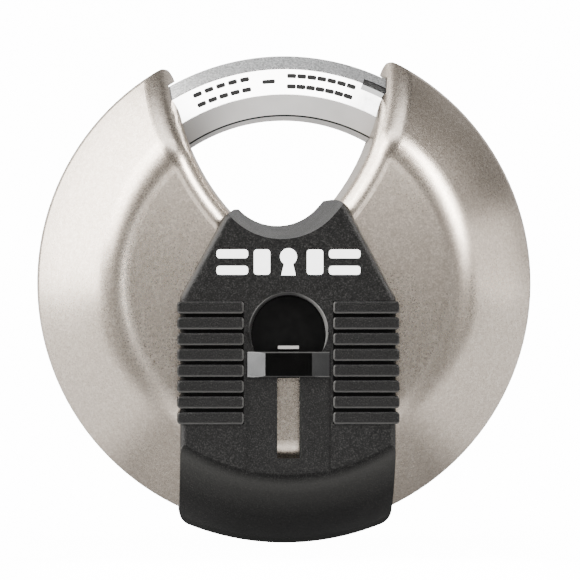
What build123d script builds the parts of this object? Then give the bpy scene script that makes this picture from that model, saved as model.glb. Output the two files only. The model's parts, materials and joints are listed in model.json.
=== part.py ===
"""Disc padlock: a round stainless body with a bar-shaped shackle that turns inside it.

Frame: X to the right, front faces -Y, +Z up. The origin is on the axis about which the
shackle turns, half way through the body's thickness. The body disc is a little higher.
Every piece is modelled with the shackle closed and the shutter over the keyway.
"""
from build123d import *
from math import acos, asin, atan2, cos, hypot, pi, radians, sin, tan
import os

# ---- Body disc -------------------------------------------------------------------
disc_r = 40.0            # outer radius of the stainless body
disc_rise = 1.0          # the disc's centre lies this far above the shackle's axis
depth = 14.2             # mid plane to the flat front of the shell
plateau_r = 25.0         # flat middle of the pressed dome
shoulder_r = 9.0         # soft bend at the edge of the flat
flank_r = 60.0           # slow curve of the sloping flank
rim_r = 1.8              # tight bend at the rim
rim_land = 2.0           # straight part of the rim, each side of the mid plane
sheet = 1.0              # thickness of the pressed sheet
core_gap = 0.05          # slip fit of the cast cores inside the sheet

# ---- Opening for the staple ------------------------------------------------------
notch_x = -1.1           # the opening is a little left of the middle
notch_floor = 8.1        # lowest point of the opening above the disc's centre
notch_side_r = 35.0      # large radius of each side wall
notch_side_x = 18.5      # how far past the middle each side radius is centred
notch_side_z = 35.0      # height of the side radius centres
wall_taper = 2.5         # the opening widens towards both faces, degrees
notch_edge_r = 3.8       # rolled edge between the wall and the face
horn_r = 2.2             # rounded tip of each horn
horn_blend = 0.15        # the tip's arc crosses the wall and the rim a little before their corner

# ---- Shackle ---------------------------------------------------------------------
bar_in_r = 27.4          # inner edge of the bar from the axis
bar_out_r = 37.7         # outer edge of the bar from the axis
bar_half = 5.0           # half the depth of the bar
bar_flat_in = 31.4       # inner end of the broad flats
bar_flat_out = 35.6      # outer end of the broad flats
bar_in_half = 1.6        # half width of the inner facet
bar_out_half = 2.8       # half width of the outer facet
bar_step_r = 27.95       # small bevel beside the inner facet
bar_step_half = 3.7
relief_in = 34.5         # shallow notch in the front of the free end
relief_out = 36.3
relief_floor = 3.2
relief_angle = 69.3
tip_angle = 48.0         # free end, inside the right horn, degrees from +X
tail_angle = 158.0       # hidden end, inside the left horn
swing = 75.0             # how far the shackle turns to open
bar_gap = 0.35           # room round the bar in the body

# ---- Shackle carrier and gears ---------------------------------------------------
gear_teeth = 17
gear_module = 0.4
pressure_angle = 20.0
backlash = 0.07
carrier_front = 5.0      # the carrier lies against the back of the bar
carrier_t = 2.0
carrier_reach = 33.0     # outer end of the arm
carrier_angle = 146.0    # direction of the arm at rest
carrier_bore_r = 1.55
pivot_r = 1.5
pivot_front = 4.8
pivot_back = 12.0
carrier_rivet_r = 1.6

# ---- Lock cylinder ---------------------------------------------------------------
plug_z = -gear_teeth * gear_module
plug_r = 6.0
plug_front = 13.8
plug_gap = 0.05
cylinder_r = 8.0
cylinder_front = 13.1
cylinder_back = 4.0
chamber_half = 3.2
keyway_half = 1.0
pin_r = 1.3
pin_gap = 0.05
pin_pitch = 3.2
pin_first_y = -10.5
key_pin_lengths = (2.6, 3.2, 2.2, 2.9, 2.4)
shear_flat = 5.83        # outer end of a key pin, so its corners meet the plug's surface
driver_top = 6.1
driver_length = 4.1
spring_foot = 15.0
spring_coil_r = 0.95
spring_wire_r = 0.17
spring_turns = 5
strip_t = 0.8

# ---- Plastic covers --------------------------------------------------------------
cover_depth = 16.8       # mid plane to the front cover's face
rear_depth = 17.3        # mid plane to the rear cover's face
cover_r = 42.0
cover_half = 17.1        # half width of the straight sides
cover_gap = 0.05
lip_t = 1.2              # lining of the opening's floor
lip_taper = 8.0          # the lining slopes more than the steel wall behind it
chin_r = 30.3            # the face is flat inside this radius and slopes outside it
chin_rim = 4.0           # half depth of the cover's rim
shoulder_z = -2.1        # top of the straight sides
left_ear = (-10.2, 10.5)  # top of each slanting side: the right one reaches higher
right_ear = (9.5, 12.1)
left_tip = (-8.3, 11.9)
right_tip = (7.9, 13.5)
cover_edge_r = 1.2
cover_corner_r = 2.5     # bottom corners
rib_count = 8
rib_pitch = 2.5
rib_height = 1.95
rib_top_z = -2.9         # top edge of the highest rib
rib_inner = 7.1
rib_outer = 17.6
rib_proud = 0.5
rib_root = 2.5           # the ribs reach back past the cover's sides
rib_edge_r = 0.35

# ---- Shutter over the keyway -----------------------------------------------------
window_z = plug_z - disc_rise   # level of the plug from the disc's centre
window_r = 6.17
channel_half = 6.7
channel_floor = 16.5      # the shallow channel that the grip runs in
channel_end = -30.0
slot_half = 1.78
slot_end = -27.8
pocket_half = 6.6         # room behind the cover for the lid
pocket_front = 15.3
lid_r = 6.4
lid_back = 14.35
lid_front = 15.15
lid_end = -15.1
nib_z = -10.2             # small ledge on the lid, above the grip
nib_height = 0.5
grip_half = 6.5
grip_flat_half = 3.7
grip_top = -10.9
grip_bottom = -14.9
grip_back = 16.6
grip_side = 16.85
grip_front = 17.3
tongue_half = 1.65

# ---- Rivets through the cores ----------------------------------------------------
rivet_r = 1.9
rivet_head_r = 3.0
rivet_half = 8.4
rivet_head_t = 1.2
rivet_circle = 28.0
rivet_angles = (6.0, -32.0, -68.0, -105.0)

TO_FRONT = (0, -1, 0)
face = Plane(origin=(0, 0, 0), x_dir=(1, 0, 0), z_dir=TO_FRONT)
disc_face = Plane(origin=(0, 0, disc_rise), x_dir=(1, 0, 0), z_dir=TO_FRONT)
disc_section = Plane(origin=(0, 0, disc_rise), x_dir=(1, 0, 0), z_dir=(0, 0, -1))
disc_axis = Axis((0, 0, disc_rise), TO_FRONT)
shackle_axis = Axis((0, 0, 0), TO_FRONT)


def polar(radius, degrees_round):
    """A point of the face plane at a radius and an angle from +X."""
    return (radius * cos(radians(degrees_round)), radius * sin(radians(degrees_round)))


def radial_plane(angle):
    """A section plane through the shackle's axis: x is the radius, y is towards the front."""
    across = (cos(radians(angle)), 0, sin(radians(angle)))
    normal = (sin(radians(angle)), 0, -cos(radians(angle)))
    return Plane(origin=(0, 0, 0), x_dir=across, z_dir=normal)


# ==== Body shape ==================================================================
def flank_angles():
    """Slopes where the shoulder runs into the flank and the flank into the rim bend."""
    a = flank_r - shoulder_r
    b = flank_r - rim_r
    p = disc_r - rim_r - plateau_r
    q = rim_land - (depth - shoulder_r)
    start = asin((b * b - a * a - p * p - q * q) / (2 * a * hypot(p, q))) - atan2(q, p)
    return start, atan2(p + a * sin(start), q + a * cos(start))


def around(centre, radius, angle):
    """A point on a bend of the dome's section, the angle measured from the front."""
    return (centre[0] + radius * sin(angle), centre[1] + radius * cos(angle))


def dome(inset, past_rim):
    """The front half of the disc, inset from its outside. Past the rim the flank runs on."""
    start, finish = flank_angles()
    shoulder_c = (plateau_r, depth - shoulder_r)
    flank_c = around(shoulder_c, shoulder_r - flank_r, start)
    rim_c = around(flank_c, flank_r - rim_r, finish)
    shoulder = shoulder_r - inset
    flank = flank_r - inset
    rim = rim_r - inset
    last = radians(75) if past_rim else finish
    with BuildPart() as body:
        with BuildSketch(disc_section):
            with BuildLine():
                top = Line((0, depth - inset), (plateau_r, depth - inset))
                ThreePointArc(top @ 1, around(shoulder_c, shoulder, start / 2),
                              around(shoulder_c, shoulder, start))
                slope = ThreePointArc(around(flank_c, flank, start),
                                      around(flank_c, flank, (start + last) / 2),
                                      around(flank_c, flank, last))
                if past_rim:
                    Polyline(slope @ 1, (0, (slope @ 1).Y), top @ 0)
                elif rim > 0:
                    bend = ThreePointArc(slope @ 1, around(rim_c, rim, (finish + pi / 2) / 2),
                                         around(rim_c, rim, pi / 2))
                    Polyline(bend @ 1, (disc_r - inset, 0), (0, 0), top @ 0)
            make_face()
        revolve(axis=disc_axis)
    return body.part


def notch(inset, taper):
    """The opening, grown by inset at the mid plane and widening towards the front."""
    floor_r = ((notch_side_r ** 2 - notch_side_x ** 2 - (notch_side_z - notch_floor) ** 2)
               / (2 * (notch_side_r - notch_side_z + notch_floor)))
    floor_z = notch_floor + floor_r
    meet = atan2(floor_z - notch_side_z, notch_side_x)
    back = 12.0
    grown = inset - back * tan(radians(taper))
    side = notch_side_r + grown
    right_c = notch_x - notch_side_x
    left_c = notch_x + notch_side_x
    above = 60.0
    with BuildPart() as body:
        with BuildSketch(disc_face.offset(-back)):
            with BuildLine():
                meet_x = side * cos(meet)
                meet_z = notch_side_z + side * sin(meet)
                half_x = side * cos(meet / 2)
                half_z = notch_side_z + side * sin(meet / 2)
                ThreePointArc((left_c - meet_x, meet_z),
                              (notch_x, floor_z - floor_r - grown),
                              (right_c + meet_x, meet_z))
                ThreePointArc((right_c + meet_x, meet_z), (right_c + half_x, half_z),
                              (right_c + side, notch_side_z))
                Polyline((right_c + side, notch_side_z), (right_c + side, above),
                         (left_c - side, above), (left_c - side, notch_side_z))
                ThreePointArc((left_c - side, notch_side_z), (left_c - half_x, half_z),
                              (left_c - meet_x, meet_z))
            make_face()
        extrude(amount=back + depth + 6, taper=-taper)
    return body.part


def wall_edges(body, inset):
    """The edges where the opening's wall meets the front of the dome."""
    found = []
    for edge in body.edges():
        ends = [edge.position_at(0), edge.position_at(0.5), edge.position_at(1)]
        at_back = any(point.Y > depth - 6 for point in ends)
        on_top = all(abs(point.Y + depth - inset) < 0.001 for point in ends)
        mid_r = hypot(ends[1].X, ends[1].Z - disc_rise)
        if edge.geom_type == GeomType.CIRCLE:
            if on_top and mid_r < plateau_r - 0.01:
                found.append(edge)
        elif edge.geom_type == GeomType.BSPLINE and not at_back:
            found.append(edge)
    return found


def horn_corner(inset, side):
    """What rounds the tip of one horn: the space between its arc and the sharp corner."""
    bend = horn_r - inset
    centre_x = notch_x + side * (notch_side_r - notch_side_x + horn_r - horn_blend)
    centre_z = ((disc_r - horn_r + horn_blend) ** 2 - centre_x ** 2) ** 0.5
    rim_angle = atan2(centre_z, side * centre_x)
    middle = (rim_angle + pi) / 2
    above = centre_z + 6
    inner_x = centre_x - side * bend
    rim_x = centre_x + side * bend * cos(rim_angle)
    rim_z = centre_z + bend * sin(rim_angle)
    with BuildPart() as body:
        with BuildSketch(disc_face.offset(-1)):
            with BuildLine():
                ThreePointArc((inner_x, centre_z),
                              (centre_x + side * bend * cos(middle), centre_z + bend * sin(middle)),
                              (rim_x, rim_z))
                Polyline((rim_x, rim_z), (rim_x, above), (inner_x - side * 2, above),
                         (inner_x - side * 2, centre_z), (inner_x, centre_z))
            make_face()
        extrude(amount=depth)
    return body.part


def body_half(inset):
    """The front half of the body with its opening and the rolled edge, inset all over."""
    with BuildPart() as body:
        add(dome(inset, True))
        add(notch(inset, wall_taper), mode=Mode.SUBTRACT)
        fillet(wall_edges(body.part, inset), notch_edge_r - inset)
        add(dome(inset, False), mode=Mode.INTERSECT)
        for side in (-1, 1):
            add(horn_corner(inset, side), mode=Mode.SUBTRACT)
    return body.part


def bar_ring(gap, start, sweep_angle):
    """The bar's faceted section, grown by gap, swept about the shackle's axis."""
    with BuildPart() as body:
        with BuildSketch(radial_plane(start)):
            with BuildLine():
                Polyline((bar_in_r, -bar_in_half), (bar_step_r, -bar_step_half),
                         (bar_flat_in, -bar_half), (bar_flat_out, -bar_half),
                         (bar_out_r, -bar_out_half), (bar_out_r, bar_out_half),
                         (bar_flat_out, bar_half), (bar_flat_in, bar_half),
                         (bar_step_r, bar_step_half), (bar_in_r, bar_in_half), close=True)
            make_face()
            if gap > 0:
                offset(amount=gap, kind=Kind.INTERSECTION)
        revolve(axis=shackle_axis, revolution_arc=sweep_angle)
    return body.part


bar_channel = bar_ring(bar_gap, tip_angle - 2, tail_angle + swing + 3 - tip_angle)
shell_solid = body_half(0)
shell_space = body_half(sheet)
core_solid = body_half(sheet + core_gap)

with BuildPart() as front_shell:
    add(shell_solid)
    add(shell_space, mode=Mode.SUBTRACT)
    add(bar_channel, mode=Mode.SUBTRACT)
    with BuildSketch(disc_face.offset(plateau_r)):
        with Locations((0, window_z)):
            Circle(plug_r + 0.6)
    extrude(amount=-plateau_r, mode=Mode.SUBTRACT)

with BuildPart() as rear_shell:
    add(shell_solid.mirror(Plane.XZ))
    add(shell_space.mirror(Plane.XZ), mode=Mode.SUBTRACT)
    add(bar_channel, mode=Mode.SUBTRACT)


# ==== Lock cylinder ===============================================================
pin_rows = [pin_first_y + number * pin_pitch for number in range(len(key_pin_lengths))]
plug_face = Plane(origin=(0, 0, plug_z), x_dir=(1, 0, 0), z_dir=TO_FRONT)
cylinder_length = cylinder_front + cylinder_back


def pin_sketch_plane(below):
    """A level plane this far below the plug's axis, its origin on the axis' line."""
    return Plane.XY.offset(plug_z - below)


with BuildPart() as cylinder_body:
    with BuildSketch(plug_face.offset(-cylinder_back)):
        Circle(cylinder_r)
        with Locations((0, -spring_foot / 2)):
            Rectangle(2 * chamber_half, spring_foot)
        Circle(plug_r + plug_gap, mode=Mode.SUBTRACT)
    extrude(amount=cylinder_length)
    with BuildSketch(pin_sketch_plane(spring_foot)):
        with Locations([(0, y) for y in pin_rows]):
            Circle(pin_r + pin_gap)
    extrude(amount=spring_foot - plug_r + 1, mode=Mode.SUBTRACT)

with BuildPart() as spring_strip:
    with BuildSketch(pin_sketch_plane(spring_foot + strip_t)):
        with Locations((0, (cylinder_back - cylinder_front) / 2)):
            Rectangle(2 * chamber_half, cylinder_length)
    extrude(amount=strip_t)

tail_half = 1.4
neck_r = 2.4
collar_r = 3.0
collar_front = 4.75
collar_back = 4.95
with BuildPart() as plug:
    with BuildSketch(plug_face.offset(-cylinder_back)):
        Circle(plug_r)
    extrude(amount=plug_front + cylinder_back)
    with BuildSketch(plug_face.offset(-cylinder_back)):
        with Locations((0, -0.4)):
            Rectangle(2 * keyway_half, 8)
    extrude(amount=plug_front + cylinder_back, mode=Mode.SUBTRACT)
    with BuildSketch(plug_face.offset(-collar_front)):
        Circle(neck_r)
    extrude(amount=collar_front - cylinder_back + 1)
    with BuildSketch(plug_face.offset(-collar_back)):
        Circle(collar_r)
    extrude(amount=collar_back - collar_front)
    with BuildSketch(plug_face.offset(-carrier_front - carrier_t)):
        Rectangle(2 * tail_half, 2 * tail_half)
    extrude(amount=carrier_front + carrier_t - collar_back)
    with BuildSketch(pin_sketch_plane(plug_r + 1)):
        with Locations([(0, y) for y in pin_rows]):
            Circle(pin_r + pin_gap)
    extrude(amount=plug_r - 0.2, mode=Mode.SUBTRACT)
    chamfer(plug.edges().filter_by(GeomType.CIRCLE).sort_by(Axis.Y)[0:1], 0.3)

clip_front = 4.1
clip_t = 0.6
with BuildPart() as plug_clip:
    with BuildSketch(plug_face.offset(-clip_front - clip_t)):
        Circle(5.4)
        Circle(neck_r + plug_gap, mode=Mode.SUBTRACT)
        with Locations((4, 0)):
            Rectangle(8, 2 * neck_r - 0.6, mode=Mode.SUBTRACT)
    extrude(amount=clip_t)

key_pins = []
for length in key_pin_lengths:
    row = pin_rows[len(key_pins)]
    with BuildPart() as key_pin:
        with BuildSketch(pin_sketch_plane(shear_flat)):
            with Locations((0, row)):
                Circle(pin_r)
        extrude(amount=length)
        chamfer(key_pin.edges().sort_by(Axis.Z)[-1:], 0.6)
    key_pins.append(key_pin.part)

driver_pins = []
for row in pin_rows:
    with BuildPart() as driver_pin:
        with BuildSketch(pin_sketch_plane(driver_top + driver_length)):
            with Locations((0, row)):
                Circle(pin_r)
        extrude(amount=driver_length)
        chamfer(driver_pin.edges().sort_by(Axis.Z)[:1], 0.25)
    driver_pins.append(driver_pin.part)

spring_top = driver_top + driver_length
spring_height = spring_foot - spring_top - 2 * spring_wire_r
pin_springs = []
for row in pin_rows:
    base = Plane.XY.offset(plug_z - spring_foot + spring_wire_r)
    with BuildPart() as pin_spring:
        with BuildLine(Plane(origin=(0, row, base.origin.Z))) as coil:
            Helix(spring_height / spring_turns, spring_height, spring_coil_r)
        with BuildSketch(Plane(origin=coil.line @ 0, z_dir=coil.line % 0)):
            Circle(spring_wire_r)
        sweep(is_frenet=True)
    pin_springs.append(pin_spring.part)


# ==== Gears, carrier and shackle ==================================================
pitch_r = gear_teeth * gear_module / 2
base_r = pitch_r * cos(radians(pressure_angle))
gear_tip_r = pitch_r + 0.9 * gear_module
gear_root_r = pitch_r - 1.2 * gear_module


def flank_half_angle(radius):
    """Half the angle that a tooth takes up at a radius, from the involute of its base."""
    tooth_half = pi / (2 * gear_teeth) - backlash / (2 * pitch_r)
    at_pitch = tan(acos(base_r / pitch_r)) - acos(base_r / pitch_r)
    here = acos(min(1.0, base_r / radius))
    return tooth_half + at_pitch - (tan(here) - here)


def gear_outline(first_tooth):
    """Corner points of a gear, the first tooth pointing at an angle from +X."""
    points = []
    radii = [gear_root_r, base_r + 0.02, pitch_r - 0.1, pitch_r, pitch_r + 0.18, gear_tip_r]
    for tooth in range(gear_teeth):
        middle = first_tooth + tooth * 2 * pi / gear_teeth
        for radius in radii:
            angle = middle - flank_half_angle(max(radius, base_r))
            points.append((radius * cos(angle), radius * sin(angle)))
        for radius in reversed(radii):
            angle = middle + flank_half_angle(max(radius, base_r))
            points.append((radius * cos(angle), radius * sin(angle)))
    return points


carrier_back = carrier_front + carrier_t
with BuildPart() as drive_pinion:
    with BuildSketch(plug_face.offset(-carrier_back)):
        with BuildLine():
            Polyline(*gear_outline(pi / 2), close=True)
        make_face()
        Rectangle(2 * tail_half, 2 * tail_half, mode=Mode.SUBTRACT)
    extrude(amount=carrier_t)

arm_outline = [(0, -2.3), (11, -2.3), (20, -3.6), (carrier_reach, -3.6),
               (carrier_reach, 6.0), (18, 6.0), (9, 1.0), (0, 1.0)]
carrier_rivet_spots = [polar(31.0, carrier_angle - 2.5), polar(31.0, carrier_angle + 5)]
with BuildPart() as shackle_carrier:
    with BuildSketch(face.offset(-carrier_back)):
        with BuildLine():
            Polyline(*gear_outline(-pi / 2 + pi / gear_teeth), close=True)
        make_face()
    extrude(amount=carrier_t)
    with BuildSketch(face.offset(-carrier_back)):
        with BuildLine(Plane.XY.rotated((0, 0, carrier_angle))):
            Polyline(*arm_outline, close=True)
        make_face()
    extrude(amount=carrier_t)
    with BuildSketch(face.offset(-carrier_back)):
        Circle(carrier_bore_r)
        with Locations(carrier_rivet_spots):
            Circle(carrier_rivet_r)
    extrude(amount=carrier_t, mode=Mode.SUBTRACT)

with BuildPart() as carrier_pivot:
    with BuildSketch(face.offset(-pivot_back)):
        Circle(pivot_r)
    extrude(amount=pivot_back - pivot_front)

carrier_rivet_front = -1.0
with BuildPart() as shackle:
    add(bar_ring(0, tip_angle, tail_angle - tip_angle))
    with BuildSketch(radial_plane(tip_angle)):
        with BuildLine():
            Polyline((relief_in, relief_floor), (relief_out, relief_floor),
                     (relief_out, bar_half + 1), (relief_in, bar_half + 1), close=True)
        make_face()
    revolve(axis=shackle_axis, revolution_arc=relief_angle - tip_angle, mode=Mode.SUBTRACT)
    with BuildSketch(face.offset(-carrier_front)):
        with Locations(carrier_rivet_spots):
            Circle(carrier_rivet_r)
    extrude(amount=carrier_front - carrier_rivet_front, mode=Mode.SUBTRACT)

with BuildPart() as carrier_rivets:
    with BuildSketch(face.offset(-carrier_back)):
        with Locations(carrier_rivet_spots):
            Circle(carrier_rivet_r)
    extrude(amount=carrier_back - carrier_rivet_front)


# ==== Cast cores ==================================================================
tail_room_start = 172.0
tail_room_in = bar_in_r - 0.5
tail_room_out = 45.0
tail_room_half = bar_half + 0.45
with BuildPart() as tail_room:
    with BuildSketch(radial_plane(tail_room_start)):
        with Locations(((tail_room_in + tail_room_out) / 2, 0)):
            Rectangle(tail_room_out - tail_room_in, 2 * tail_room_half)
    revolve(axis=shackle_axis, revolution_arc=tail_angle + swing + 2 - tail_room_start)

cylinder_fit = 0.1
with BuildPart() as cylinder_space:
    with BuildSketch(plug_face.offset(-collar_back)):
        Circle(cylinder_r + cylinder_fit)
        with Locations((0, -(spring_foot + strip_t) / 2)):
            Rectangle(2 * (chamber_half + cylinder_fit), spring_foot + strip_t + 2 * cylinder_fit)
    extrude(amount=collar_back + depth)

arm_room = 0.4
rivet_room_depth = 1.5    # the rivets are bare between the bar's bevel and the arm
carrier_space_back = carrier_back + 0.2
sweep_end = carrier_reach + 1
with BuildPart() as carrier_space:
    with BuildSketch(face.offset(-carrier_space_back)):
        Circle(gear_tip_r + arm_room)
        with Locations((0, plug_z)):
            Circle(gear_tip_r + arm_room)
        with BuildLine():
            middle = carrier_angle + swing / 2
            Line((0, 0), polar(sweep_end, carrier_angle))
            ThreePointArc(polar(sweep_end, carrier_angle), polar(sweep_end, middle),
                          polar(sweep_end, carrier_angle + swing))
            Line(polar(sweep_end, carrier_angle + swing), (0, 0))
        make_face()
    extrude(amount=carrier_space_back - carrier_front + rivet_room_depth)
    for angle in (carrier_angle, carrier_angle + swing):
        with BuildSketch(face.offset(-carrier_space_back)):
            with BuildLine(Plane.XY.rotated((0, 0, angle))):
                Polyline(*arm_outline, close=True)
            make_face()
            offset(amount=arm_room, kind=Kind.INTERSECTION)
        extrude(amount=carrier_space_back - carrier_front + rivet_room_depth)

with BuildPart() as core_rivets:
    with BuildSketch(face.offset(-rivet_half)):
        with Locations([polar(rivet_circle, angle) for angle in rivet_angles]):
            Circle(rivet_r)
    extrude(amount=2 * rivet_half)
    for level in (rivet_half - rivet_head_t, -rivet_half):
        with BuildSketch(face.offset(level)):
            with Locations([polar(rivet_circle, angle) for angle in rivet_angles]):
                Circle(rivet_head_r)
        extrude(amount=rivet_head_t)

rivet_room = core_rivets.part
with BuildPart() as rivet_heads_open:
    with BuildSketch(face.offset(rivet_half - rivet_head_t)):
        with Locations([polar(rivet_circle, angle) for angle in rivet_angles]):
            Circle(rivet_head_r)
    extrude(amount=depth)

with BuildPart() as front_core:
    add(core_solid)
    add(bar_channel, mode=Mode.SUBTRACT)
    add(tail_room.part, mode=Mode.SUBTRACT)
    add(cylinder_space.part, mode=Mode.SUBTRACT)
    add(rivet_room, mode=Mode.SUBTRACT)
    add(rivet_heads_open.part, mode=Mode.SUBTRACT)

with BuildPart() as rear_core:
    add(core_solid.mirror(Plane.XZ))
    add(bar_channel, mode=Mode.SUBTRACT)
    add(tail_room.part, mode=Mode.SUBTRACT)
    add(cylinder_space.part, mode=Mode.SUBTRACT)
    add(carrier_space.part, mode=Mode.SUBTRACT)
    add(carrier_pivot.part, mode=Mode.SUBTRACT)
    add(rivet_room, mode=Mode.SUBTRACT)
    add(rivet_heads_open.part.mirror(Plane.XZ), mode=Mode.SUBTRACT)


# ==== Plastic covers ==============================================================
def cover_blank(face_depth):
    """A cover's outside over the front half: flat face, sloping chin and straight rim."""
    rim_corner = (cover_r - 0.9, chin_rim + 0.5)
    chin_middle = ((chin_r + cover_r) / 2 + 0.7, (face_depth + chin_rim) / 2 + 0.9)
    with BuildPart() as body:
        with BuildSketch(disc_section):
            with BuildLine():
                Polyline((0, 0), (0, face_depth), (chin_r, face_depth))
                ThreePointArc((chin_r, face_depth), chin_middle, rim_corner)
                Polyline(rim_corner, (cover_r, chin_rim - 1.2), (cover_r, 0), (0, 0))
            make_face()
        revolve(axis=disc_axis)
        with BuildSketch(disc_face) as outline:
            with BuildLine():
                corner_z = -(cover_r ** 2 - cover_half ** 2) ** 0.5
                Polyline((cover_half, corner_z), (cover_half, shoulder_z), right_ear,
                         right_tip, left_tip, left_ear, (-cover_half, shoulder_z),
                         (-cover_half, corner_z))
                ThreePointArc((-cover_half, corner_z), (0, -cover_r), (cover_half, corner_z))
            make_face()
            fillet(outline.vertices().sort_by(Axis.Y)[:2], cover_corner_r)
            fillet(outline.vertices().sort_by(Axis.Y)[4:], cover_edge_r + 0.3)
        extrude(amount=face_depth, mode=Mode.INTERSECT)
        on_face = body.edges().filter_by_position(Axis.Y, -face_depth, -face_depth)
        crease = on_face.sort_by(Axis.Z)[0]
        fillet([edge for edge in on_face if edge != crease], cover_edge_r)
    return body.part


def cover_half_solid(face_depth):
    """A cover blank hollowed to sit on the shell, with its lining in the opening."""
    with BuildPart() as body:
        add(cover_blank(face_depth))
        add(body_half(-cover_gap), mode=Mode.SUBTRACT)
        add(notch(-lip_t, lip_taper), mode=Mode.SUBTRACT)
    return body.part


with BuildPart() as front_cover:
    add(cover_half_solid(cover_depth))
    with BuildSketch(disc_face.offset(cover_depth - rib_root)):
        for number in range(rib_count):
            rib_z = rib_top_z - rib_height / 2 - number * rib_pitch
            with Locations([(side * (rib_inner + rib_outer) / 2, rib_z) for side in (-1, 1)]):
                RectangleRounded(rib_outer - rib_inner, rib_height, 0.5)
    extrude(amount=rib_root + rib_proud)
    rib_faces = front_cover.faces().filter_by(Axis.Y).sort_by(Axis.Y)[:2 * rib_count]
    fillet(rib_faces.edges(), rib_edge_r)
    with BuildSketch(disc_face.offset(channel_floor)):
        with Locations((0, (window_z + channel_end) / 2)):
            Rectangle(2 * channel_half, window_z - channel_end)
    extrude(amount=depth, mode=Mode.SUBTRACT)
    with BuildSketch(disc_face.offset(depth - 1)):
        with Locations((0, window_z)):
            Circle(window_r)
        with Locations((0, (window_z + slot_end) / 2)):
            Rectangle(2 * slot_half, window_z - slot_end)
    extrude(amount=depth, mode=Mode.SUBTRACT)
    with BuildSketch(disc_face.offset(depth - 2)):
        with Locations((0, window_z)):
            Circle(pocket_half)
        with Locations((0, (window_z + slot_end) / 2)):
            Rectangle(2 * pocket_half, window_z - slot_end + 0.4)
    extrude(amount=pocket_front - depth + 2, mode=Mode.SUBTRACT)

with BuildPart() as rear_cover:
    add(cover_half_solid(rear_depth).mirror(Plane.XZ))


# ==== Shutter =====================================================================
with BuildPart() as shutter:
    with BuildSketch(disc_face.offset(lid_back)):
        with Locations((0, window_z)):
            Circle(lid_r)
        with Locations((0, (window_z + lid_end) / 2)):
            Rectangle(2 * lid_r, window_z - lid_end)
    extrude(amount=lid_front - lid_back)
    with BuildSketch(disc_face.offset(lid_front)):
        with Locations((0, nib_z)):
            Rectangle(2 * tongue_half, nib_height)
        with Locations((0, (grip_top + grip_bottom) / 2)):
            Rectangle(2 * tongue_half, grip_top - grip_bottom)
    extrude(amount=grip_back - lid_front)

with BuildPart() as shutter_grip:
    with BuildSketch(Plane.XY.offset(disc_rise + grip_bottom)):
        with BuildLine():
            Polyline((-grip_half, -grip_back), (-grip_half, -grip_side),
                     (-grip_flat_half, -grip_front), (grip_flat_half, -grip_front),
                     (grip_half, -grip_side), (grip_half, -grip_back), close=True)
        make_face()
    extrude(amount=grip_top - grip_bottom)
    chamfer(shutter_grip.edges().filter_by(Axis.X), 0.2)


# ==== Labels and files ============================================================
pieces = {
    "front_shell": front_shell.part,
    "rear_shell": rear_shell.part,
    "front_core": front_core.part,
    "rear_core": rear_core.part,
    "core_rivets": core_rivets.part,
    "front_cover": front_cover.part,
    "rear_cover": rear_cover.part,
    "shutter": shutter.part,
    "shutter_grip": shutter_grip.part,
    "shackle": shackle.part,
    "shackle_carrier": shackle_carrier.part,
    "carrier_rivets": carrier_rivets.part,
    "carrier_pivot": carrier_pivot.part,
    "cylinder_body": cylinder_body.part,
    "spring_strip": spring_strip.part,
    "plug": plug.part,
    "plug_clip": plug_clip.part,
    "drive_pinion": drive_pinion.part,
}
for number in range(len(pin_rows)):
    pieces[f"key_pin_{number + 1}"] = key_pins[number]
    pieces[f"driver_pin_{number + 1}"] = driver_pins[number]
    pieces[f"pin_spring_{number + 1}"] = pin_springs[number]

os.makedirs("parts", exist_ok=True)
for name, piece in pieces.items():
    piece.label = name
    export_step(piece, f"parts/{name}.step")
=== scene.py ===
"""Disc padlock: finishes, printed emblem, stage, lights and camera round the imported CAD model."""

import json
import math

import bmesh
import bpy
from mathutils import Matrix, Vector


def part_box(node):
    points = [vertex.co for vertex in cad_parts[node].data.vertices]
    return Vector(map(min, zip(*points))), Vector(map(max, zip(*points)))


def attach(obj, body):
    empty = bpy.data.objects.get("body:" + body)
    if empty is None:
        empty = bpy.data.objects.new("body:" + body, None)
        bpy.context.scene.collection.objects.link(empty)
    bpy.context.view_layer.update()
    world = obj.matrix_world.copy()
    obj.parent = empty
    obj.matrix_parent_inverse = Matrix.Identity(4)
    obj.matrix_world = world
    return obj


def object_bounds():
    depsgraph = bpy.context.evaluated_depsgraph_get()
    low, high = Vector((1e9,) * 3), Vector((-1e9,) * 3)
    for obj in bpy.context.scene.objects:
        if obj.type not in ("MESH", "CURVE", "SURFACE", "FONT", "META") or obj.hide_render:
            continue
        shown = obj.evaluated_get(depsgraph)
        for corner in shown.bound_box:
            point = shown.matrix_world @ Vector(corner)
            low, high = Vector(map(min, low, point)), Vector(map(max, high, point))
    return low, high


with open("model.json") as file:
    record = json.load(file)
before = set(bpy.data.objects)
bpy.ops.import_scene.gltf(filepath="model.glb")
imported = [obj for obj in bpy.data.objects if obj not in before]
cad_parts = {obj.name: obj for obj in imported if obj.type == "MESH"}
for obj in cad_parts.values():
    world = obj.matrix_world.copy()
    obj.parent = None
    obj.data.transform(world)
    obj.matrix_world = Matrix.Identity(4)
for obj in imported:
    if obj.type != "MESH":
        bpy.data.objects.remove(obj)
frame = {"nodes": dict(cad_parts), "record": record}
cad_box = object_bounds()
nodes = frame["nodes"]

MM = 0.001
WHITE = (1, 1, 1, 1)

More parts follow.
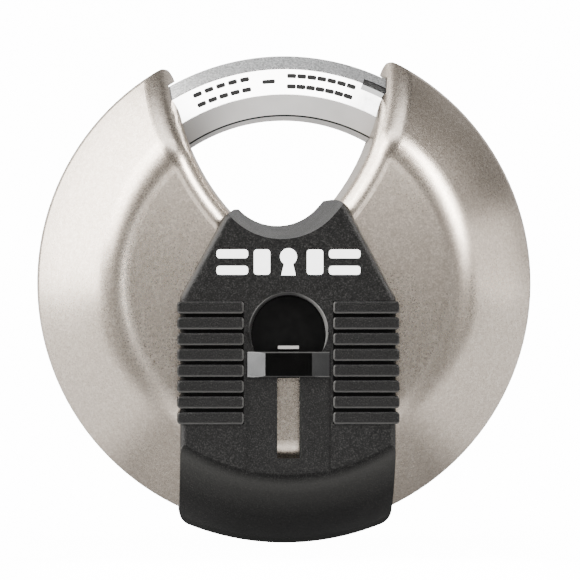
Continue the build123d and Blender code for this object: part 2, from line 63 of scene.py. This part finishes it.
# Where the finishes, the painted shade and the painted highlights change, in metres or radians; the
# shackle's axis is the line x = z = 0.
SEAM_HALF = 0.00009
BAR_OUTER_EDGE = (0.03545, 0.03575)
BAR_INNER_EDGE = (0.0313, 0.0315)
BAR_STEP_SHADE_LINE = (0.02805, 0.00013)
TIP_NOTCH_RADII = (0.03448, 0.03632)
TIP_NOTCH_ANGLE = math.radians(69.4)
TIP_SCUFF = (math.radians(67), math.radians(76))
TAIL_SCUFF = (math.radians(116), math.radians(126))
TAIL_SHADE = (math.radians(104), math.radians(126))
RIB_INNER = 0.00708
RIB_BOTTOM = -0.02135
RIB_TOP = -0.0019
RIB_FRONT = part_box("front_cover")[0][1] + 0.00035
CHIN_RADIUS = 0.0298
CHIN_RISE = 0.0028
CHIN_HIGHLIGHT_BAND = (0.0310, 0.0318, 0.0365)
CHIN_DARK = (0.0345, 0.039)
LEDGE_BOTTOM = -0.0098
LEDGE_FRONT = -0.0163


# ---- Node material helpers -------------------------------------------------------
def new_material(name):
    """A material with an empty node tree but for a Principled shader and the output."""
    material = bpy.data.materials.new(name)
    material.use_nodes = True
    tree = material.node_tree
    shader = tree.nodes["Principled BSDF"]
    return material, tree, shader


def object_coords(tree):
    """The socket with a node's own coordinates, which are metres in the part's frame."""
    return tree.nodes.new("ShaderNodeTexCoord").outputs["Object"]


def noise(tree, coords, scale, detail=2.0, roughness=0.5):
    """A noise texture on object coordinates, scale in cells per metre."""
    texture = tree.nodes.new("ShaderNodeTexNoise")
    texture.inputs["Scale"].default_value = scale
    texture.inputs["Detail"].default_value = detail
    texture.inputs["Roughness"].default_value = roughness
    tree.links.new(coords, texture.inputs["Vector"])
    return texture.outputs["Fac"]


def spread(tree, value, low, high, start=0.3, end=0.7):
    """Maps a value between start and end to one between low and high, and holds it outside."""
    node = tree.nodes.new("ShaderNodeMapRange")
    node.inputs["From Min"].default_value = start
    node.inputs["From Max"].default_value = end
    node.inputs["To Min"].default_value = low
    node.inputs["To Max"].default_value = high
    tree.links.new(value, node.inputs["Value"])
    return node.outputs["Result"]


def ramp(tree, value, stops):
    """A colour ramp; each stop is a position and a colour."""
    node = tree.nodes.new("ShaderNodeValToRGB")
    ends = node.color_ramp.elements
    ends[0].position, ends[0].color = stops[0][0], (*stops[0][1], 1)
    ends[1].position, ends[1].color = stops[-1][0], (*stops[-1][1], 1)
    for place, colour in stops[1:-1]:
        ends.new(place).color = (*colour, 1)
    tree.links.new(value, node.inputs["Fac"])
    return node.outputs["Color"]


def bump(tree, shader, value, distance, strength=1.0, before=None):
    """A bump of the given height in metres, on top of the normal before."""
    node = tree.nodes.new("ShaderNodeBump")
    node.inputs["Distance"].default_value = distance
    node.inputs["Strength"].default_value = strength
    tree.links.new(value, node.inputs["Height"])
    if before:
        tree.links.new(before, node.inputs["Normal"])
    tree.links.new(node.outputs["Normal"], shader.inputs["Normal"])
    return node.outputs["Normal"]


def axis_value(tree, coords, axis):
    """The X, Y or Z of a vector."""
    split = tree.nodes.new("ShaderNodeSeparateXYZ")
    tree.links.new(coords, split.inputs["Vector"])
    return split.outputs[axis]


def maths(tree, operation, first, second=None):
    """A maths node on one or two sockets or numbers."""
    node = tree.nodes.new("ShaderNodeMath")
    node.operation = operation
    for value, socket in ((first, node.inputs[0]), (second, node.inputs[1])):
        if isinstance(value, (int, float)):
            socket.default_value = value
        elif value is not None:
            tree.links.new(value, socket)
    return node.outputs[0]


def mix(tree, amount, first, second):
    """Mixes two colours, each a colour or a socket, by a socket."""
    node = tree.nodes.new("ShaderNodeMix")
    node.data_type = "RGBA"
    tree.links.new(amount, node.inputs[0])
    for colour, socket in ((first, node.inputs[6]), (second, node.inputs[7])):
        if isinstance(colour, tuple):
            socket.default_value = (*colour, 1)
        else:
            tree.links.new(colour, socket)
    return node.outputs[2]


def axis_radius(tree, coords):
    """Distance from the shackle's axis, which is the line x = z = 0."""
    x = axis_value(tree, coords, "X")
    z = axis_value(tree, coords, "Z")
    return maths(tree, "SQRT", maths(tree, "ADD", maths(tree, "MULTIPLY", x, x),
                                     maths(tree, "MULTIPLY", z, z)))


def stainless_material():
    """Bead-blasted stainless sheet: warm grey, finely speckled, with a seam between the halves."""
    material, tree, shader = new_material("stainless_satin")
    coords = object_coords(tree)
    shader.inputs["Metallic"].default_value = 1.0
    grain = noise(tree, coords, 4400, 1.0, 0.6)
    coarse = noise(tree, coords, 1500, 2.0, 0.5)
    broad = noise(tree, coords, 55, 3.0, 0.5)
    speckle = maths(tree, "ADD", maths(tree, "MULTIPLY", grain, 0.65),
                    maths(tree, "MULTIPLY", coarse, 0.35))
    tint = ramp(tree, speckle, [(0.34, (0.58, 0.50, 0.42)), (0.50, (0.69, 0.605, 0.52)),
                                (0.66, (0.89, 0.80, 0.70))])
    off_seam = maths(tree, "ABSOLUTE", axis_value(tree, coords, "Y"))
    seam = maths(tree, "LESS_THAN", off_seam, SEAM_HALF)
    tree.links.new(mix(tree, seam, tint, (0.05, 0.045, 0.04)), shader.inputs["Base Color"])
    rough = maths(tree, "ADD", spread(tree, grain, 0.27, 0.29), spread(tree, broad, -0.01, 0.01))
    tree.links.new(rough, shader.inputs["Roughness"])
    bump(tree, shader, grain, 0.00001, 0.04)
    return material


def shackle_material():
    """Plated steel bar: polished flats, a matt grainy outer bevel and a smooth inner one, with
    painted shade along the step, in the notch and towards the tail.
    """
    material, tree, shader = new_material("shackle_plated")
    coords = object_coords(tree)
    shader.inputs["Metallic"].default_value = 1.0
    radius = axis_radius(tree, coords)
    angle = maths(tree, "ARCTAN2", axis_value(tree, coords, "Z"), axis_value(tree, coords, "X"))
    outer = spread(tree, radius, 0.0, 1.0, *BAR_OUTER_EDGE)
    inner = spread(tree, radius, 1.0, 0.0, *BAR_INNER_EDGE)
    grain = noise(tree, coords, 3000, 2.0, 0.7)
    coarse = noise(tree, coords, 1100, 3.0, 0.6)
    matt = ramp(tree, grain, [(0.35, (0.46, 0.465, 0.47)), (0.65, (0.92, 0.925, 0.93))])
    flat = ramp(tree, coarse, [(0.3, (0.90, 0.90, 0.89)), (0.7, (0.97, 0.97, 0.96))])
    scuffed = ramp(tree, coarse, [(0.3, (0.42, 0.42, 0.42)), (0.7, (0.66, 0.66, 0.66))])
    at_tip = spread(tree, angle, 1.0, 0.0, *TIP_SCUFF)
    at_tail = spread(tree, angle, 0.0, 0.5, *TAIL_SCUFF)
    flat = mix(tree, maths(tree, "MAXIMUM", at_tip, at_tail), flat, scuffed)
    smooth = ramp(tree, noise(tree, coords, 160, 2.0, 0.5),
                  [(0.3, (0.86, 0.84, 0.82)), (0.7, (0.98, 0.96, 0.94))])
    # Painted shadow of the left horn: the inner bevel darkens towards the bar's tail.
    painted_tail_shadow = spread(tree, angle, 0.0, 0.85, *TAIL_SHADE)
    smooth = mix(tree, painted_tail_shadow, smooth, (0.16, 0.155, 0.15))
    # Painted shade: a thin dark line along the step beside the bar's inner bevel.
    line = maths(tree, "COMPARE", radius, BAR_STEP_SHADE_LINE[0])
    line.node.inputs[2].default_value = BAR_STEP_SHADE_LINE[1]
    smooth = mix(tree, line, smooth, (0.03, 0.03, 0.03))
    # Painted shade: the shallow notch near the bar's free end is coloured dark, front and back
    # alike.
    in_band = maths(tree, "MULTIPLY", maths(tree, "GREATER_THAN", radius, TIP_NOTCH_RADII[0]),
                    maths(tree, "LESS_THAN", radius, TIP_NOTCH_RADII[1]))
    painted_notch_shade = maths(tree, "MULTIPLY", in_band, maths(tree, "LESS_THAN", angle, TIP_NOTCH_ANGLE))
    facets = mix(tree, inner, mix(tree, outer, flat, matt), smooth)
    tree.links.new(mix(tree, painted_notch_shade, facets, (0.11, 0.11, 0.11)), shader.inputs["Base Color"])
    rough = maths(tree, "ADD", spread(tree, coarse, 0.05, 0.08),
                  maths(tree, "MULTIPLY", maths(tree, "MAXIMUM", outer, inner), 0.3))
    tree.links.new(rough, shader.inputs["Roughness"])
    bump(tree, shader, maths(tree, "MULTIPLY", grain, outer), 0.00005, 0.6)
    return material


def cover_material():
    """Black grained plastic, with painted shade between the ribs, painted highlights on their
    edges, a painted highlight along the top of the chin and painted shade lower down.
    """
    material, tree, shader = new_material("cover_plastic")
    coords = object_coords(tree)
    grain = noise(tree, coords, 5200, 1.0, 0.6)
    broad = noise(tree, coords, 240, 2.0, 0.5)
    tint = ramp(tree, grain, [(0.40, (0.0008, 0.0008, 0.0008)), (0.56, (0.008, 0.008, 0.008)),
                              (0.72, (0.035, 0.035, 0.034))])
    radius = axis_radius(tree, coords)
    # Painted highlight: a paler band along the top of the chin.
    painted_crease_highlight = maths(tree, "MULTIPLY", spread(tree, radius, 0.0, 0.7, CHIN_RADIUS, CHIN_HIGHLIGHT_BAND[0]),
                   spread(tree, radius, 1.0, 0.0, *CHIN_HIGHLIGHT_BAND[1:]))
    tint = mix(tree, painted_crease_highlight, tint, (0.05, 0.05, 0.048))
    # Painted shade: the cover darkens towards its rim, on the chin.
    chin = spread(tree, radius, 0.0, 0.3, *CHIN_DARK)
    tint = mix(tree, chin, tint, (0.0005, 0.0005, 0.0005))
    x, y, z = (axis_value(tree, coords, axis) for axis in "XYZ")
    beside = maths(tree, "GREATER_THAN", maths(tree, "ABSOLUTE", x), RIB_INNER)
    level = maths(tree, "MULTIPLY", maths(tree, "GREATER_THAN", z, RIB_BOTTOM),
                  maths(tree, "LESS_THAN", z, RIB_TOP))
    ribbed = maths(tree, "MULTIPLY", maths(tree, "MULTIPLY", beside, level),
                   maths(tree, "LESS_THAN", y, 0.0))
    # Painted shade between the ribs: darker colour and a lower specular level there.
    between = maths(tree, "MULTIPLY", ribbed, maths(tree, "GREATER_THAN", y, RIB_FRONT))
    # Painted highlight on the ribs' downward-facing edges and on their inner ends.
    facing = tree.nodes.new("ShaderNodeNewGeometry").outputs["Normal"]
    down = maths(tree, "MULTIPLY", axis_value(tree, facing, "Z"), -1.0)
    edge = maths(tree, "MULTIPLY", ribbed, spread(tree, down, 0.0, 1.0, 0.1, 0.6))
    tint = mix(tree, between, tint, (0.0004, 0.0004, 0.0004))
    across = maths(tree, "MULTIPLY", axis_value(tree, facing, "X"), x)
    inward = maths(tree, "MULTIPLY", ribbed, spread(tree, across, 1.0, 0.0, -0.005, -0.002))
    edge = maths(tree, "MAXIMUM", edge, maths(tree, "MULTIPLY", inward, 0.7))
    tint = mix(tree, edge, tint, (0.12, 0.12, 0.117))
    tree.links.new(tint, shader.inputs["Base Color"])
    tree.links.new(spread(tree, between, 0.34, 0.06, 0.0, 1.0),
                   shader.inputs["Specular IOR Level"])
    rough = maths(tree, "ADD", spread(tree, grain, 0.32, 0.48), spread(tree, broad, -0.03, 0.03))
    tree.links.new(rough, shader.inputs["Roughness"])
    pad = spread(tree, radius, 0.0, 1.0, CHIN_RADIUS, CHIN_RADIUS + CHIN_RISE)
    pad.node.interpolation_type = "SMOOTHSTEP"
    swollen = bump(tree, shader, pad, 0.0006)
    bump(tree, shader, grain, 0.00012, 0.6, swollen)
    return material


def rim_material():
    """Smooth black plastic with a painted highlight, paler towards the right."""
    material, tree, shader = new_material("rim_plastic")
    coords = object_coords(tree)
    cloud = noise(tree, coords, 300, 2.0, 0.5)
    # Painted highlight: the rim turns paler towards its right side.
    wear_and_painted_highlight = spread(tree, axis_value(tree, coords, "X"), 0.0, 1.0, 0.001, 0.006)
    tint = mix(tree, wear_and_painted_highlight, (0.006, 0.006, 0.006), (0.13, 0.13, 0.128))
    tree.links.new(tint, shader.inputs["Base Color"])
    tree.links.new(spread(tree, cloud, 0.305, 0.335), shader.inputs["Roughness"])
    return material


def grip_material(low, high):
    """Glossy black grip with a painted highlight: a thin pale line along its upper and lower edges.
    """
    material, tree, shader = new_material("grip_plastic")
    coords = object_coords(tree)
    cloud = noise(tree, coords, 300, 2.0, 0.5)
    height = axis_value(tree, coords, "Z")
    half = (high - low) / 2
    off_middle = maths(tree, "ABSOLUTE", maths(tree, "SUBTRACT", height, (low + high) / 2))
    # Painted highlight along the grip's upper and lower edges.
    line = spread(tree, off_middle, 0.0, 1.0, half - 0.00022, half - 0.00012)
    black = ramp(tree, cloud, [(0.3, (0.0006, 0.0006, 0.0006)), (0.7, (0.0012, 0.0012, 0.0012))])
    tree.links.new(mix(tree, line, black, (0.055, 0.055, 0.054)), shader.inputs["Base Color"])
    tree.links.new(spread(tree, cloud, 0.12, 0.15), shader.inputs["Roughness"])
    return material


def shutter_material():
    """Smooth black lid with a painted highlight on the small ledge above the grip."""
    material, tree, shader = new_material("shutter_lid")
    coords = object_coords(tree)
    grain = noise(tree, coords, 900, 2.0, 0.5)
    depth = axis_value(tree, coords, "Y")
    height = axis_value(tree, coords, "Z")
    # Painted highlight: the ledge above the grip is coloured light grey.
    painted_ledge_highlight = maths(tree, "MULTIPLY", maths(tree, "GREATER_THAN", height, LEDGE_BOTTOM),
                     maths(tree, "LESS_THAN", depth, LEDGE_FRONT))
    black = ramp(tree, grain, [(0.3, (0.0015, 0.0015, 0.0016)), (0.7, (0.003, 0.003, 0.003))])
    tree.links.new(mix(tree, painted_ledge_highlight, black, (0.42, 0.41, 0.40)), shader.inputs["Base Color"])
    tree.links.new(spread(tree, grain, 0.35, 0.42), shader.inputs["Roughness"])
    shader.inputs["Specular IOR Level"].default_value = 0.12
    return material


def metal_material(name, dark, light, rough, scale):
    """Plain machined or cast metal with a grain between two colours."""
    material, tree, shader = new_material(name)
    coords = object_coords(tree)
    shader.inputs["Metallic"].default_value = 1.0
    grain = noise(tree, coords, scale, 3.0, 0.6)
    tree.links.new(ramp(tree, grain, [(0.3, dark), (0.7, light)]), shader.inputs["Base Color"])
    tree.links.new(spread(tree, grain, rough - 0.06, rough + 0.08), shader.inputs["Roughness"])
    bump(tree, shader, grain, 0.00002, 0.3)
    return material


def print_material(name, colour, rough, glow=0.0):
    """Pad-printed or stamped paint, slightly uneven; it may glow white, which is painted light."""
    material, tree, shader = new_material(name)
    grain = noise(tree, object_coords(tree), 1800, 2.0, 0.6)
    wear_and_painted_highlight = tuple(channel * 0.86 for channel in colour)
    tree.links.new(ramp(tree, grain, [(0.3, wear_and_painted_highlight), (0.6, colour)]), shader.inputs["Base Color"])
    tree.links.new(spread(tree, grain, rough - 0.05, rough + 0.05), shader.inputs["Roughness"])
    shader.inputs["Emission Color"].default_value = WHITE
    shader.inputs["Emission Strength"].default_value = glow
    return material


grip_low, grip_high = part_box("shutter_grip")
SLOTS = {
    "stainless": stainless_material(),
    "hard_steel": shackle_material(),
    "black_plastic": cover_material(),
    "gloss_black": grip_material(grip_low[2], grip_high[2]),
    "cast_zinc": metal_material("cast_zinc", (0.28, 0.28, 0.29), (0.42, 0.42, 0.43), 0.5, 900),
    "steel": metal_material("plain_steel", (0.42, 0.42, 0.43), (0.58, 0.58, 0.58), 0.32, 1800),
    "brass": metal_material("machined_brass", (0.62, 0.46, 0.2), (0.8, 0.62, 0.32), 0.28, 1800),
}
for part in frame["record"]["subparts"]:
    piece = nodes[part["node"]]
    piece.data.materials.clear()
    piece.data.materials.append(SLOTS[part["material_slot"]])
nodes["shutter"].data.materials[0] = shutter_material()


# ---- Printed and stamped marks ---------------------------------------------------
def plates(name, outlines, level, thickness, material, body):
    """Thin plates with the given outlines in x and z, their backs at the level y."""
    mesh = bpy.data.meshes.new(name)
    shape = bmesh.new()
    for outline in outlines:
        back = [shape.verts.new((x * MM, level * MM, z * MM)) for x, z in outline]
        front = [shape.verts.new((x * MM, (level - thickness) * MM, z * MM)) for x, z in outline]
        shape.faces.new(front)
        shape.faces.new(list(reversed(back)))
        for number in range(len(outline)):
            other = (number + 1) % len(outline)
            shape.faces.new((front[number], back[number], back[other], front[other]))
    bmesh.ops.recalc_face_normals(shape, faces=shape.faces[:])
    shape.to_mesh(mesh)
    shape.free()
    mesh.materials.append(material)
    plate = bpy.data.objects.new(name, mesh)
    bpy.context.scene.collection.objects.link(plate)
    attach(plate, body)
    return plate


def rounded_bar(centre, width, height, corner, turn=0.0):
    """Outline of a bar with rounded corners, turned about its centre."""
    points = []
    for quarter, (sx, sz) in enumerate(((1, 1), (-1, 1), (-1, -1), (1, -1))):
        for step in range(5):
            angle = math.radians(90 * quarter + 22.5 * step)
            points.append((sx * (width / 2 - corner) + corner * math.cos(angle),
                           sz * (height / 2 - corner) + corner * math.sin(angle)))
    c, s = math.cos(turn), math.sin(turn)
    return [(centre[0] + x * c - z * s, centre[1] + x * s + z * c) for x, z in points]


def keyhole(centre, radius, drop, foot_half):
    """Outline of a keyhole: a disc above a widening skirt."""
    points = []
    for step in range(21):
        angle = math.radians(-58 + step * 296 / 20)
        points.append((centre[0] + radius * math.cos(angle), centre[1] + radius * math.sin(angle)))
    points.append((centre[0] - foot_half, centre[1] - drop))
    points.append((centre[0] + foot_half, centre[1] - drop))
    return points


# The marks below are in millimetres. Each sits in the surface by SUNK, so no gap shows.
SUNK = 0.01
COVER_FACE = -16.8
EMBLEM_Z = 4.3
# The emblem's paint glows with strength 2.5: painted light that keeps it white.
white_paint = print_material("emblem_paint", (0.92, 0.92, 0.92), 0.5, 2.5)
emblem = [keyhole((0.0, EMBLEM_Z + 0.85), 1.35, 2.95, 1.15)]
for side in (-1, 1):
    emblem.append(rounded_bar((side * 4.2, EMBLEM_Z), 2.6, 4.0, 0.5))
    for row in (-1.3, 1.3):
        emblem.append(rounded_bar((side * 8.9, EMBLEM_Z + row), 5.0, 1.4, 0.5))
plates("front_emblem", emblem, COVER_FACE + SUNK, 0.05, white_paint, "housing")


def window_rim(centre_z, radius, level, start, end, half_width, proud):
    """The rounded edge of the round window, thinning out to its ends."""
    mesh = bpy.data.meshes.new("window_rim")
    around, along = 10, 72
    points, faces = [], []
    for step in range(along + 1):
        angle = math.radians(start + (end - start) * step / along)
        full = min(1.0, 6 * min(step, along - step) / along + 0.15)
        for turn in range(around):
            t = 2 * math.pi * turn / around
            reach = radius + half_width * full * math.cos(t)
            points.append((reach * math.cos(angle) * MM,
                           (level - proud * full * math.sin(t)) * MM,
                           (centre_z + reach * math.sin(angle)) * MM))
    for step in range(along):
        for turn in range(around):
            a, b = step * around + turn, step * around + (turn + 1) % around
            faces.append((a, b, b + around, a + around))
    faces.append(tuple(range(around - 1, -1, -1)))
    faces.append(tuple(range(along * around, (along + 1) * around)))
    mesh.from_pydata(points, [], faces)
    mesh.polygons.foreach_set("use_smooth", [len(face) == 4 for face in faces])
    mesh.materials.append(rim_material())
    rim = bpy.data.objects.new("window_rim", mesh)
    bpy.context.scene.collection.objects.link(rim)
    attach(rim, "housing")


LID_RADIUS = 6.4
lid_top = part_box("shutter")[1][2] / MM
window_rim(lid_top - LID_RADIUS, radius=6.14, level=-16.62, start=-26, end=206,
           half_width=0.30, proud=0.26)


def dash(reach, degrees, width, height):
    """A rounded dash along the bar, at a radius and an angle round the shackle's axis."""
    angle = math.radians(degrees)
    spot = (reach * math.cos(angle), reach * math.sin(angle))
    return rounded_bar(spot, width, height, 0.26, angle - math.pi / 2)


BAR_FACE = -5.0
MARK_RADIUS = 33.55
ROW_OFFSET = 0.85
dashes = []
for first, last, count in ((114.3, 101.0, 5), (88.3, 72.0, 7)):
    for number in range(count):
        degrees = first + (last - first) * number / (count - 1)
        for row in (-ROW_OFFSET, ROW_OFFSET):
            dashes.append(dash(MARK_RADIUS + row, degrees, 1.5, 0.74))
dashes.append(dash(MARK_RADIUS, 94.6, 2.1, 0.68))
plates("shackle_marks", dashes, BAR_FACE + SUNK, 0.03,
       print_material("stamped_marks", (0.012, 0.012, 0.012), 0.6), "shackle")


# ---- Stage, lights and camera ----------------------------------------------------
def look_at(thing, target):
    """Turns a lamp or camera towards a point."""
    direction = Vector(target) - thing.location
    thing.rotation_euler = direction.to_track_quat("-Z", "Y").to_euler()


PAPER_WHITE = 14.0


def backdrop_material():
    """White to the camera; a pool in front, both sides and the back of it light the lock."""
    material, tree, shader = new_material("backdrop_white")
    coords = object_coords(tree)
    depth = axis_value(tree, coords, "Y")
    aside = spread(tree, maths(tree, "ABSOLUTE", axis_value(tree, coords, "X")),
                   0.0, 1.0, 0.03, 0.05)
    pool = maths(tree, "MULTIPLY", spread(tree, depth, 1.0, 0.2, -0.05, -0.035),
                 spread(tree, depth, 0.0, 1.0, -0.12, -0.10))
    pool = maths(tree, "MULTIPLY", pool, maths(tree, "SUBTRACT", 1.0, aside))
    flanks = maths(tree, "MULTIPLY", aside, spread(tree, depth, 0.0, 0.6, -0.06, -0.03))
    behind = spread(tree, depth, 0.0, 0.5, -0.01, 0.03)
    lit = maths(tree, "MAXIMUM", behind, maths(tree, "MAXIMUM", pool, flanks))
    shade = mix(tree, lit, (0.05, 0.05, 0.05), (0.40, 0.40, 0.40))
    tree.links.new(shade, shader.inputs["Base Color"])
    shader.inputs["Roughness"].default_value = 0.8
    shader.inputs["Emission Color"].default_value = WHITE
    seen = tree.nodes.new("ShaderNodeLightPath").outputs["Is Camera Ray"]
    glow = spread(tree, lit, 0.03, 0.9, 0.0, 1.0)
    power = maths(tree, "ADD", glow, maths(tree, "MULTIPLY", seen, PAPER_WHITE))
    tree.links.new(power, shader.inputs["Emission Strength"])
    return material


def backdrop():
    """A pale floor that curves up into a wall behind the lock."""
    floor_z = cad_box[0][2] - 0.0002
    half_width, curve, wall_top = 2.5, 0.5, 2.5
    profile = [(-2.0, 0.0), (curve, 0.0)]
    for step in range(1, 13):
        turn = math.radians(step * 7.5)
        profile.append((curve + curve * math.sin(turn), curve - curve * math.cos(turn)))
    profile.append((2 * curve, wall_top))
    mesh = bpy.data.meshes.new("backdrop")
    points = [(x, y, floor_z + z) for y, z in profile for x in (-half_width, half_width)]
    faces = [(2 * i, 2 * i + 1, 2 * i + 3, 2 * i + 2) for i in range(len(profile) - 1)]
    mesh.from_pydata(points, [], faces)
    mesh.polygons.foreach_set("use_smooth", [True] * len(faces))
    floor = bpy.data.objects.new("backdrop", mesh)
    bpy.context.scene.collection.objects.link(floor)
    mesh.materials.append(backdrop_material())


def around_lock(azimuth, elevation, distance):
    """A place round the lock; azimuth 0 is straight in front, + to the right, in degrees."""
    a, e = math.radians(azimuth), math.radians(elevation)
    return distance * Vector((math.sin(a) * math.cos(e), -math.cos(a) * math.cos(e),
                              math.sin(e)))


def card(name, azimuth, elevation, distance, size, power, colour=(1, 1, 1)):
    """A soft box round the lock, turned to the middle of it."""
    data = bpy.data.lights.new(name, "AREA")
    data.shape = "RECTANGLE"
    data.size, data.size_y = size
    data.energy = power
    data.color = colour
    lamp = bpy.data.objects.new(name, data)
    lamp.location = around_lock(azimuth, elevation, distance)
    bpy.context.scene.collection.objects.link(lamp)
    look_at(lamp, (0, 0, 0))
    return lamp


WARM = (1.0, 0.975, 0.945)
backdrop()
card("left_wall", -85, 25, 1.0, (0.8, 1.3), 26.0, WARM)
card("left_strip", -52, 33, 1.1, (0.42, 0.92), 12.5, WARM)
card("right_strip", 52, 25, 1.1, (0.30, 0.54), 13.0, WARM)
card("right_low", 88, -12, 1.0, (0.6, 0.40), 3.3, WARM)
card("right_mid", 88, 9, 1.0, (0.6, 0.32), 0.9, WARM)
card("right_high", 84, 42, 1.0, (0.6, 0.5), 0.15, WARM)
card("grip_left", -16, -1.8, 0.9, (0.08, 0.12), 0.5)
card("grip_right", 20.7, -1.8, 0.9, (0.08, 0.12), 0.08)
# The bar's flat has a light of its own, which the steel body doesn't see.
bar_card = card("bar_card", 2.5, 4.8, 1.0, (0.12, 0.045), 0.15)
bar_only = bpy.data.collections.new("lit_by_bar_card")
bar_only.objects.link(nodes["shackle"])
bar_card.light_linking.receiver_collection = bar_only
card("front_high", 1.5, 12, 0.25, (0.12, 0.03), 0.05, WARM)
card("top_box", 0, 70, 1.0, (0.9, 0.5), 5.5)

world = bpy.data.worlds.new("studio")
world.use_nodes = True
world_tree = world.node_tree
background = world_tree.nodes["Background"]
background.inputs["Color"].default_value = (1, 0.985, 0.97, 1)
world_seen = world_tree.nodes.new("ShaderNodeLightPath").outputs["Is Camera Ray"]
world_tree.links.new(spread(world_tree, world_seen, 0.03, PAPER_WHITE, 0.0, 1.0),
                     background.inputs["Strength"])
bpy.context.scene.world = world

CAMERA_DISTANCE = 0.65
CAMERA_AZIMUTH = -2.5
CAMERA_ELEVATION = 0.0
CAMERA_AIM = Vector((0.00097, 0.0, -0.00012))
FOCAL_LENGTH = 248.4
camera_data = bpy.data.cameras.new("camera")
camera_data.lens = FOCAL_LENGTH
camera_data.clip_start = 0.01
camera = bpy.data.objects.new("camera", camera_data)
camera.location = CAMERA_AIM + around_lock(CAMERA_AZIMUTH, CAMERA_ELEVATION, CAMERA_DISTANCE)
bpy.context.scene.collection.objects.link(camera)
look_at(camera, CAMERA_AIM)
bpy.context.scene.camera = camera
